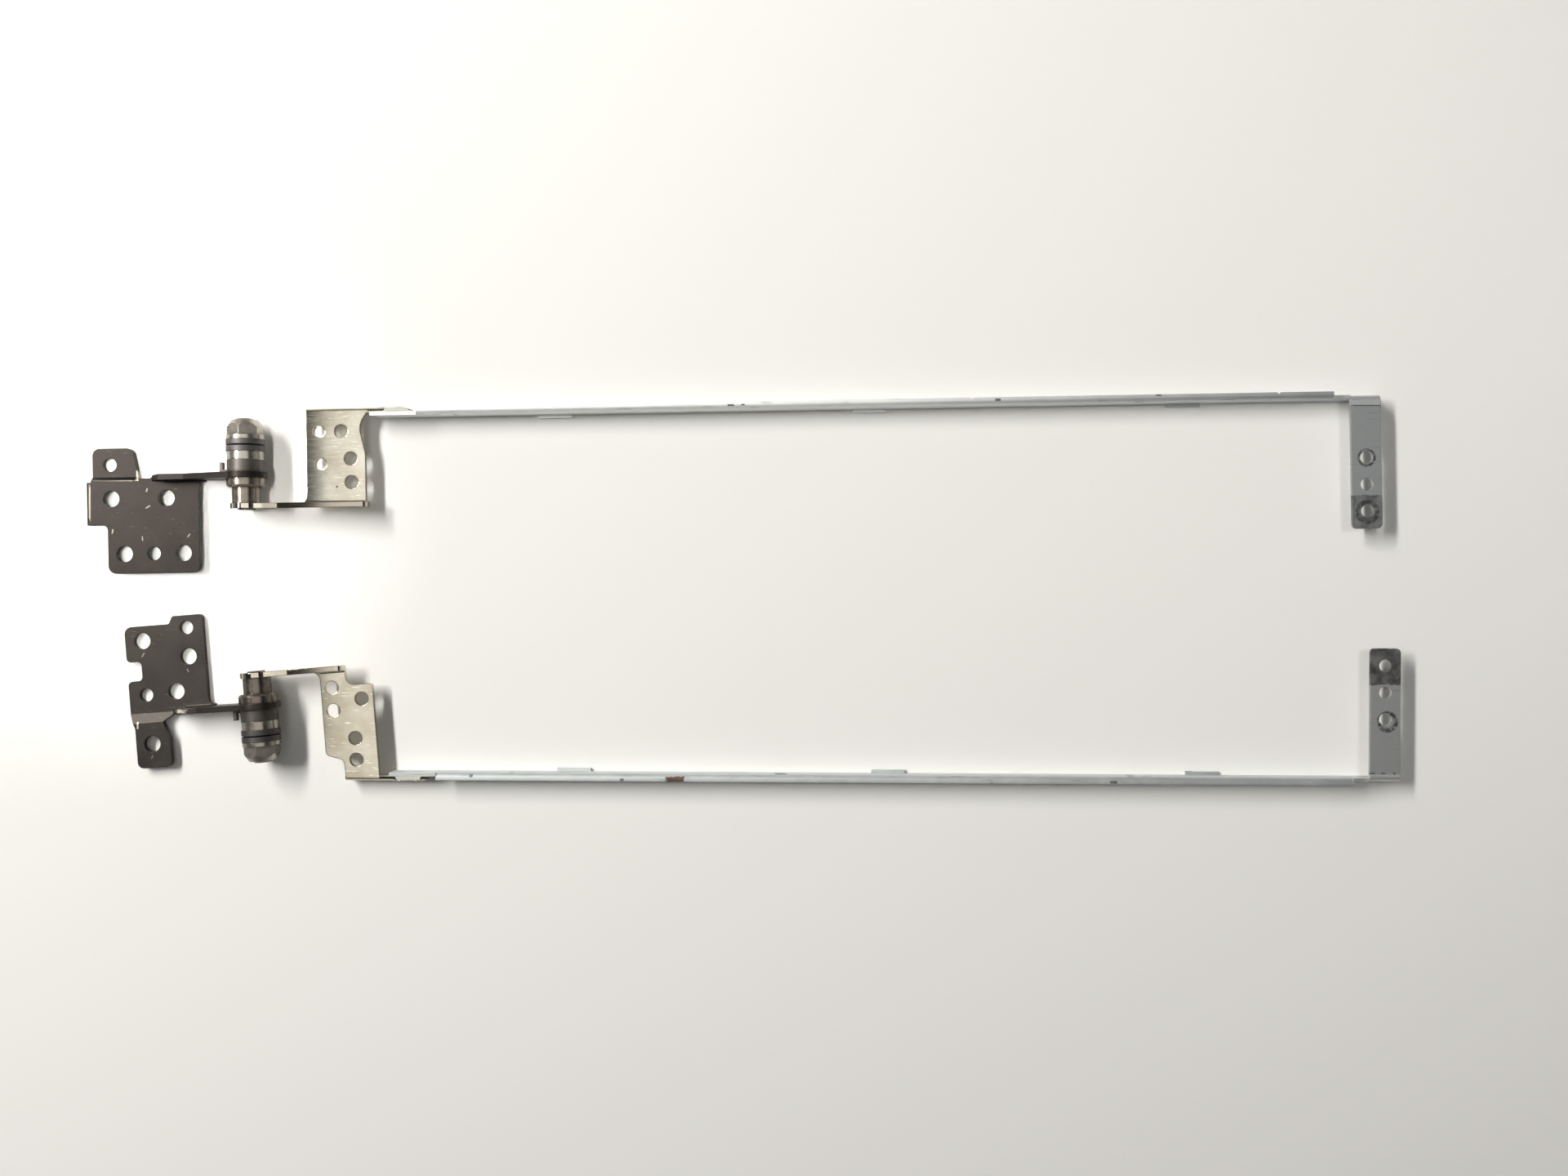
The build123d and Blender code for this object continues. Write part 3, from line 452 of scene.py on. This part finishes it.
def nickel_plate(name, tones, shaft_middle, arm_edge, tongue_glint, glint_tone):
    """Nickel plated sheet; its arm's edge is placed from the shaft, and its tongue's top has a painted highlight.
    """
    material, tree, shader, place = new_material(name)
    cloud = add(tree, "TexNoise", {"Vector": place, "Scale": 1 / PLATE_CLOUD, "Detail": 3}).outputs["Fac"]
    mottled = add(tree, "MapRange", {
        "Value": cloud, "From Min": PLATE_MOTTLE[0], "From Max": PLATE_MOTTLE[1],
    })
    tone = mixed(tree, mottled.outputs["Result"], *[linear(code) for code in tones])
    scratches = scuffs(tree, place, *PLATE_SCRATCHES)
    tone = mixed(tree, scratches, tone, linear(SCRATCH_TONE))
    normal, edge_band = broken_edges(tree, place, PLATE_EDGE_RADIUS)
    pits = specks(tree, place, *PLATE_PITS)
    # Dark pits, and the band along edges: partly wear and partly painted shade along the outlines
    tone = mixed(tree, either(tree, [pits, edge_band]), tone, linear(PIT_AND_EDGE_SHADE))
    middle = [c / MM + step for c, step in zip(shaft_middle, ARM_EDGE_FROM_SHAFT)]
    tone = mixed(tree, patch(tree, place, middle, ARM_EDGE_SIZE), tone, linear(arm_edge))
    # Painted highlight on each tongue's top, with the normal there turned straight up
    glint_mask = patch(tree, place, *tongue_glint, ragged=0.1)
    tone = mixed(tree, glint_mask, tone, linear(glint_tone))
    flat = add(tree, "VectorTransform", {"Vector": (0, 0, 1)}, vector_type="NORMAL",
               convert_from="OBJECT", convert_to="WORLD").outputs["Vector"]
    normal = add(tree, "Mix", {0: glint_mask, MIX_VECTOR_A: normal, MIX_VECTOR_B: flat},
                 data_type="VECTOR").outputs[MIX_VECTOR_OUT]
    haze = add(tree, "MapRange", {"Value": cloud, "To Min": PLATE_HAZE[0], "To Max": PLATE_HAZE[1]})
    haze = add(tree, "Math", {
        0: glint_mask, 1: GLINT_HAZE, 2: haze.outputs["Result"],
    }, operation="MULTIPLY_ADD")
    rolled = scuffs(tree, place, *ROLLED_LINES)
    relief = add(tree, "Bump", {
        "Height": rolled, "Distance": ROLLED_RELIEF, "Strength": 0.15, "Normal": normal,
    })
    bare_metal(tree, shader, tone, haze.outputs["Value"], relief.outputs["Normal"])
    return material


for joint in frame["joints"]:
    side = joint["child"].split("_")[0]
    finishes[f"{side}_screen_bracket"] = nickel_plate(
        f"{side}_nickel_plated_sheet", PLATE_TONES[side], joint["pos_m"], ARM_EDGE[side],
        TONGUE_GLINT[side], TONGUE_GLINT_TONE[side])
print("nickel plate on", list(finishes)[-2:])

# %% [markdown]
# Zinc-coated steel: the rails and their far tabs are cut from sheet that was galvanised at the
# mill. Zinc is a cool mid grey, and dulls to a soft satin. Each rail, the left one most, is painted
# brighter near the hinge, where it mirrors the lamps, and darker towards its far end, and the
# upright webs get a painted tone of their own by which way they face: both are painted light and
# shade. The folds at the tabs carry a painted highlight, the ends of the tabs carry dark stains,
# rings of dirt show where screws sat, and the right rail has one brown block of rust. The band
# along the edges is darkened, partly by wear and partly as painted shade along the outlines.

# %% Zinc-coated steel
ZINC_CLOUD, ZINC_BLOTCH = 3 * MM, 2.2 * MM
ZINC_EDGE_RADIUS = 0.09
ZINC_SCRATCHES = (0.12 * MM, 6 * MM, 0, 0.7)
BLOTCH_EDGE = (0.35, 0.65)
RAIL_ROUGHNESS, TAB_ROUGHNESS, CLOUD_ROUGHNESS = 0.58, 0.5, 0.15
# A painted highlight for the tab folds, a dark tone for scratches, spots and the band along edges, and dirt for
# rings
FOLD_GLINT, DARK_ZINC, DIRT = "#D5D8D7", "#7A7E7E", "#575756"
RUST = ("#55443D", "#7C675C")
TAB_WIDTH, TAB_FADE = 6.2 * MM, 2 * MM
# How far the surface faces up where it starts to count as web and where it fully does
WEB_STARTS, WEB_FULL = 0.75, 0.3
# How much of the web's painted tone the upright faces take; it stands for how they are lit
WEB_PAINTED_SHADE = 0.65
# Share of the rail's length from which the painted shade towards the far end begins
FAR_SHADE_FROM = 0.5
# Tones of each rail near the hinge and far from it (painted light and shade), on its tab and on its
# web (painted by which way it faces), then its marks in millimetres
ZINC = {
    "left": {
        "rail": ("#ECEFEE", "#FBFCFB"), "far": ("#A2A7A8", "#C4C9CA"), "tab": "#B7BBBC",
        "web": "#D6D9D8", "fold": ((128.5, 38.9, 4.0), (9.0, 2.4, 4.0)),
        "tip": ((129.0, 15.6, 4.5), (9.0, 7.4, 2.0)), "stain": ("#777A7A", "#A3A6A6"), "rust": [],
        "rings": [((128.7, 26.94, 4.5), 1.65, 0.7), ((128.9, 15.75, 4.5), 2.05, 1.2)],
        "spots": [((-1.9, 37.7, 4.5), (1.4, 0.4, 2.0)), ((0.6, 37.8, 4.5), (0.9, 0.35, 2.0)),
                  ((53.0, 38.8, 4.5), (1.2, 0.5, 2.0)), ((86.0, 39.8, 4.5), (1.2, 0.5, 2.0)),
                  ((128.5, 37.6, 4.5), (6.6, 0.25, 1.0))],
    },
    "right": {
        "rail": ("#B7BCBC", "#D7DBDB"), "far": ("#A4A9AA", "#CBD0D0"), "tab": "#B9BBBB",
        "web": "#D8DCDC", "fold": ((132.5, -38.9, 4.0), (9.0, 1.6, 4.0)),
        "tip": ((132.6, -16.1, 4.5), (9.0, 7.6, 2.0)), "stain": ("#575554", "#8E8D8C"),
        "rust": [((-13.5, -39.6, 4.2), (4.0, 2.0, 3.0))],
        "rings": [((133.0, -27.4, 4.5), 1.75, 1.2)],
        "spots": [((-35.8, -37.8, 4.5), (6.0, 0.5, 2.0)), ((-55.3, -38.5, 4.5), (0.8, 0.6, 2.0)),
                  ((-24.3, -39.3, 4.5), (0.8, 0.6, 2.0)), ((76.8, -39.8, 4.5), (1.6, 0.6, 2.0)),
                  ((80.1, -38.5, 4.5), (0.7, 0.6, 2.0)), ((95.7, -38.5, 4.5), (6.4, 0.4, 2.0)),
                  ((129.7, -38.0, 4.5), (1.6, 0.3, 1.0)), ((132.1, -38.0, 4.5), (0.9, 0.3, 1.0)),
                  ((134.4, -38.0, 4.5), (0.5, 0.4, 1.0))],
    },
}


def zinc_coat(name, node, look):
    """Galvanised sheet that changes along the rail, with the tones and marks in look."""
    low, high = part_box(node)
    material, tree, shader, place = new_material(name)
    cloud = add(tree, "TexNoise", {"Vector": place, "Scale": 1 / ZINC_CLOUD, "Detail": 5}).outputs["Fac"]
    axes = add(tree, "SeparateXYZ", {"Vector": place})
    along = add(tree, "MapRange", {
        "Value": axes.outputs["X"],
        "From Min": low.x + FAR_SHADE_FROM * (high.x - low.x), "From Max": high.x,
    }).outputs["Result"]
    # Painted light and shade: brighter near the hinge, where the rail mirrors the lamps, darker towards the far
    # end
    near_tone, far_tone = [mixed(tree, cloud, linear(dull), linear(bright))
                           for dull, bright in (look["rail"], look["far"])]
    tone = mixed(tree, along, near_tone, far_tone)
    # Painted light and shade on the upright webs, set by which way a face points
    facing = add(tree, "SeparateXYZ", {"Vector": add(tree, "TexCoord", {}).outputs["Normal"]})
    web_shade = add(tree, "MapRange", {
        "Value": facing.outputs["Z"], "From Min": WEB_STARTS, "From Max": WEB_FULL, "To Max": WEB_PAINTED_SHADE,
    })
    tone = mixed(tree, web_shade.outputs["Result"], tone, linear(look["web"]))
    on_tab = add(tree, "MapRange", {
        "Value": axes.outputs["X"],
        "From Min": high.x - TAB_WIDTH - TAB_FADE, "From Max": high.x - TAB_WIDTH,
    }).outputs["Result"]
    tone = mixed(tree, on_tab, tone, linear(look["tab"]))
    # Painted highlight on the fold at each tab
    tone = mixed(tree, patch(tree, place, *look["fold"]), tone, linear(FOLD_GLINT))
    normal, edge_band = broken_edges(tree, place, ZINC_EDGE_RADIUS)
    scratches = scuffs(tree, place, *ZINC_SCRATCHES)
    # Dark scratches, listed spots and the band along edges, which is partly wear and partly painted shade
    dark_marks = either(tree, [scratches, edge_band, patches(tree, place, look["spots"])])
    tone = mixed(tree, dark_marks, tone, linear(DARK_ZINC))
    blotch = add(tree, "TexNoise", {"Vector": place, "Scale": 1 / ZINC_BLOTCH, "Detail": 4}).outputs["Fac"]
    uneven = add(tree, "MapRange", {
        "Value": blotch, "From Min": BLOTCH_EDGE[0], "From Max": BLOTCH_EDGE[1],
    }).outputs["Result"]
    dark_stain, pale_stain = [linear(code) for code in look["stain"]]
    stain = mixed(tree, uneven, dark_stain, pale_stain)
    tone = mixed(tree, patch(tree, place, *look["tip"], ragged=0.12, blur=0.05), tone, stain)
    rings = either(tree, [ring(tree, place, *row) for row in look["rings"]])
    tone = mixed(tree, rings, tone, linear(DIRT))
    if look["rust"]:
        rust = mixed(tree, blotch, *[linear(code) for code in RUST])
        tone = mixed(tree, patches(tree, place, look["rust"]), tone, rust)
    base_sheen = add(tree, "MapRange", {
        "Value": on_tab, "To Min": RAIL_ROUGHNESS, "To Max": TAB_ROUGHNESS,
    })
    sheen = add(tree, "Math", {
        0: cloud, 1: CLOUD_ROUGHNESS, 2: base_sheen.outputs["Result"],
    }, operation="MULTIPLY_ADD")
    bare_metal(tree, shader, tone, sheen.outputs["Value"], normal)
    return material


for side in SIDES:
    rail = f"{side}_screen_rail"
    finishes[rail] = zinc_coat(f"{side}_zinc_coated_steel", rail, ZINC[side])
print("zinc on", list(finishes)[-2:])

# %% [markdown]
# Turned pieces: the shaft, washers, springs and nut were cut or ground while they turned, so fine
# lines run round them. On a round piece those lines are noise that changes only along the shaft.
# Oil and wear dust sit in the gaps between the rings, which ambient occlusion finds.

# %% Turned metal
# Real turning lines are about 0.05 mm apart; they are drawn wider so that they show
TURNING_PITCH = 0.16 * MM
GRIME_REACH = 0.7 * MM
# How open a place is where grime still covers it and where it is clean, then how patchy the cover is
GRIME_COVERS, GRIME_ENDS = 0.35, 0.95
COVER = (0.55, 1.15)
TURNED_CLOUD = 1.8 * MM
TURNED_EDGE_RADIUS = 0.1
TURNED_RELIEF = 0.004 * MM
TURNED_SHEEN = (0.8, 1.3)


def turned_metal(name, axis, colour, grime_and_shade, roughness, clean_and_lit):
    """Metal turned about an axis; the lower its last share, the more of it lies under the grime colour, which on
    the right stack is partly painted shade.
    """
    material, tree, shader, place = new_material(name)
    along = add(tree, "VectorMath", {0: place, 1: axis}, operation="DOT_PRODUCT")
    lines = add(tree, "TexNoise", {
        "W": along.outputs["Value"], "Scale": 1 / TURNING_PITCH, "Detail": 2,
    }, noise_dimensions="1D")
    cloud = add(tree, "TexNoise", {"Vector": place, "Scale": 1 / TURNED_CLOUD, "Detail": 4}).outputs["Fac"]
    gaps = add(tree, "AmbientOcclusion", {"Distance": GRIME_REACH}, samples=8)
    clean = add(tree, "MapRange", {
        "Value": gaps.outputs["AO"], "From Min": GRIME_COVERS, "From Max": GRIME_ENDS,
    })
    cover = add(tree, "MapRange", {
        "Value": cloud, "To Min": COVER[0] * clean_and_lit, "To Max": COVER[1] * clean_and_lit,
    })
    shown = add(tree, "Math", {
        0: clean.outputs["Result"], 1: cover.outputs["Result"],
    }, operation="MULTIPLY", use_clamp=True)
    tone = mixed(tree, shown.outputs["Value"], linear(grime_and_shade), linear(colour))
    normal, edge_band = broken_edges(tree, place, TURNED_EDGE_RADIUS)
    tone = mixed(tree, edge_band, tone, linear(colour))
    relief = add(tree, "Bump", {
        "Height": lines.outputs["Fac"], "Distance": TURNED_RELIEF, "Strength": 0.5, "Normal": normal,
    })
    sheen = add(tree, "MapRange", {
        "Value": cloud, "To Min": roughness * TURNED_SHEEN[0], "To Max": roughness * TURNED_SHEEN[1],
    })
    bare_metal(tree, shader, tone, sheen.outputs["Result"], relief.outputs["Normal"])
    return material


# For each material slot: the finish, its clean colour, its grime colour, which on the right stack also
# carries painted shade, and its roughness
TURNED = {
    "shaft_steel": ("turned_shaft_steel", "#9C9287", "#4A443E", 0.26),
    "washer_steel": ("oiled_washer_steel", "#76716C", "#363330", 0.48),
    "bright_nickel": ("bright_nickel_ring", "#BDB8AE", "#7A7367", 0.26),
    "spring_steel": ("blued_spring_steel", "#72706F", "#363433", 0.50),
    "nut_steel": ("plated_nut_steel", "#D2CAC0", "#66605A", 0.28),
}
# The right stack takes more of the grime colour, as painted shade, since it lies less in the light
CLEAN_AND_LIT = {"left": 1.0, "right": 0.5}
slots = {row["node"]: row["material_slot"] for row in frame["record"]["subparts"]}
turned = [name for name, slot in slots.items() if slot in TURNED]
for joint in frame["joints"]:
    side = joint["child"].split("_")[0]
    made = {slot: turned_metal(f"{side}_{name}", joint["axis"], colour, grime_and_shade, roughness, CLEAN_AND_LIT[side])
            for slot, (name, colour, grime_and_shade, roughness) in TURNED.items()}
    for name in turned:
        if name.startswith(side):
            finishes[name] = made[slots[name]]
print("turned metal on", len(turned), "pieces")

# %% [markdown]
# Each rail is spot-welded to the plate's tongue in two places. A weld squeezes up a low round
# nugget with a dented middle on both faces. A profile turned round the weld's own axis gives it,
# with its rim sunk a little into the sheet so that no gap shows.

# %% Weld nuggets
# Share of the radius and height in millimetres, from the dented middle to the sunk rim
WELD_PROFILE = ((0.0, 0.04), (0.3, 0.05), (0.55, 0.13), (0.75, 0.12), (0.9, 0.05), (1.0, -0.08))
WELD_SEGMENTS = 24
WELD_RADIUS = 1.0


def weld_nugget(name, middle, facing):
    """A turned nugget in millimetres on a face that points along facing."""
    mesh = bpy.data.meshes.new(name)
    shape = bmesh.new()
    rows = []
    turns = [2 * math.pi * i / WELD_SEGMENTS for i in range(WELD_SEGMENTS)]
    for share, rise in WELD_PROFILE[1:]:
        reach = share * WELD_RADIUS
        rows.append([shape.verts.new((reach * math.cos(t), reach * math.sin(t), rise)) for t in turns])
    top = shape.verts.new((0, 0, WELD_PROFILE[0][1]))
    for i in range(WELD_SEGMENTS):
        j = (i + 1) % WELD_SEGMENTS
        shape.faces.new((top, rows[0][i], rows[0][j]))
        for inner, outer in zip(rows, rows[1:]):
            shape.faces.new((inner[i], outer[i], outer[j], inner[j]))
    shape.faces.new(reversed(rows[-1]))
    turn = Vector(facing).to_track_quat("Z", "Y").to_matrix().to_4x4()
    for vert in shape.verts:
        vert.co = (turn @ vert.co + Vector(middle)) * MM
    bmesh.ops.recalc_face_normals(shape, faces=shape.faces)
    shape.to_mesh(mesh)
    shape.free()
    mesh.shade_smooth()
    piece = bpy.data.objects.new(name, mesh)
    bpy.context.collection.objects.link(piece)
    return piece


print("weld nugget:", len(WELD_PROFILE) - 1, "rings of", WELD_SEGMENTS)

# %% [markdown]
# A weld belongs where the web and the tongue lie on each other. Its place is measured from the
# shaft: out along the shaft to the joint between the two sheets, then along the rail, which on the
# right hinge leans a little. From there the two faces are one sheet's thickness away on either side.

# %% Weld nuggets on both rails
# Millimetres from the shaft, and degrees of lean from square to the shaft
WELD_PLACES = (27.4, 30.8)
WELD_HEIGHT = 2.4
RAIL_OUT = {"left": 19.5, "right": 21.3}
RAIL_TURN = {"left": 0.0, "right": 4.85}
WEB_FACE, TONGUE_FACE = -0.7, 1.1

for joint in frame["joints"]:
    side = joint["child"].split("_")[0]
    outward = -1 if side == "right" else 1
    shaft = Vector(joint["pos_m"]) / MM
    out = Vector(joint["axis"]) * -outward
    along = out.cross(Vector((0, 0, 1))) * outward
    lean = math.radians(RAIL_TURN[side])
    rail_along = along * math.cos(lean) + out * math.sin(lean)
    rail_out = out * math.cos(lean) - along * math.sin(lean)
    start = shaft + out * RAIL_OUT[side]
    for number, place_along in enumerate(WELD_PLACES, 1):
        for face, offset, facing in (("web", WEB_FACE, -rail_out), ("tongue", TONGUE_FACE, rail_out)):
            middle = start + rail_along * place_along + rail_out * offset
            middle.z = WELD_HEIGHT
            piece = weld_nugget(f"{side}_{face}_weld_{number}", middle, facing)
            owner = f"{side}_screen_rail" if face == "web" else f"{side}_screen_bracket"
            piece.data.materials.append(finishes[owner])
            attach(piece, joint["child"])
            print(piece.name, [round(c, 2) for c in middle])

# %% [markdown]
# Each solid keeps its mesh as it is and only takes its finish.

# %% Finishes on the solids
for name, node in nodes.items():
    node.data.materials.clear()
    node.data.materials.append(finishes[name])
print("finishes on", len(nodes), "pieces")
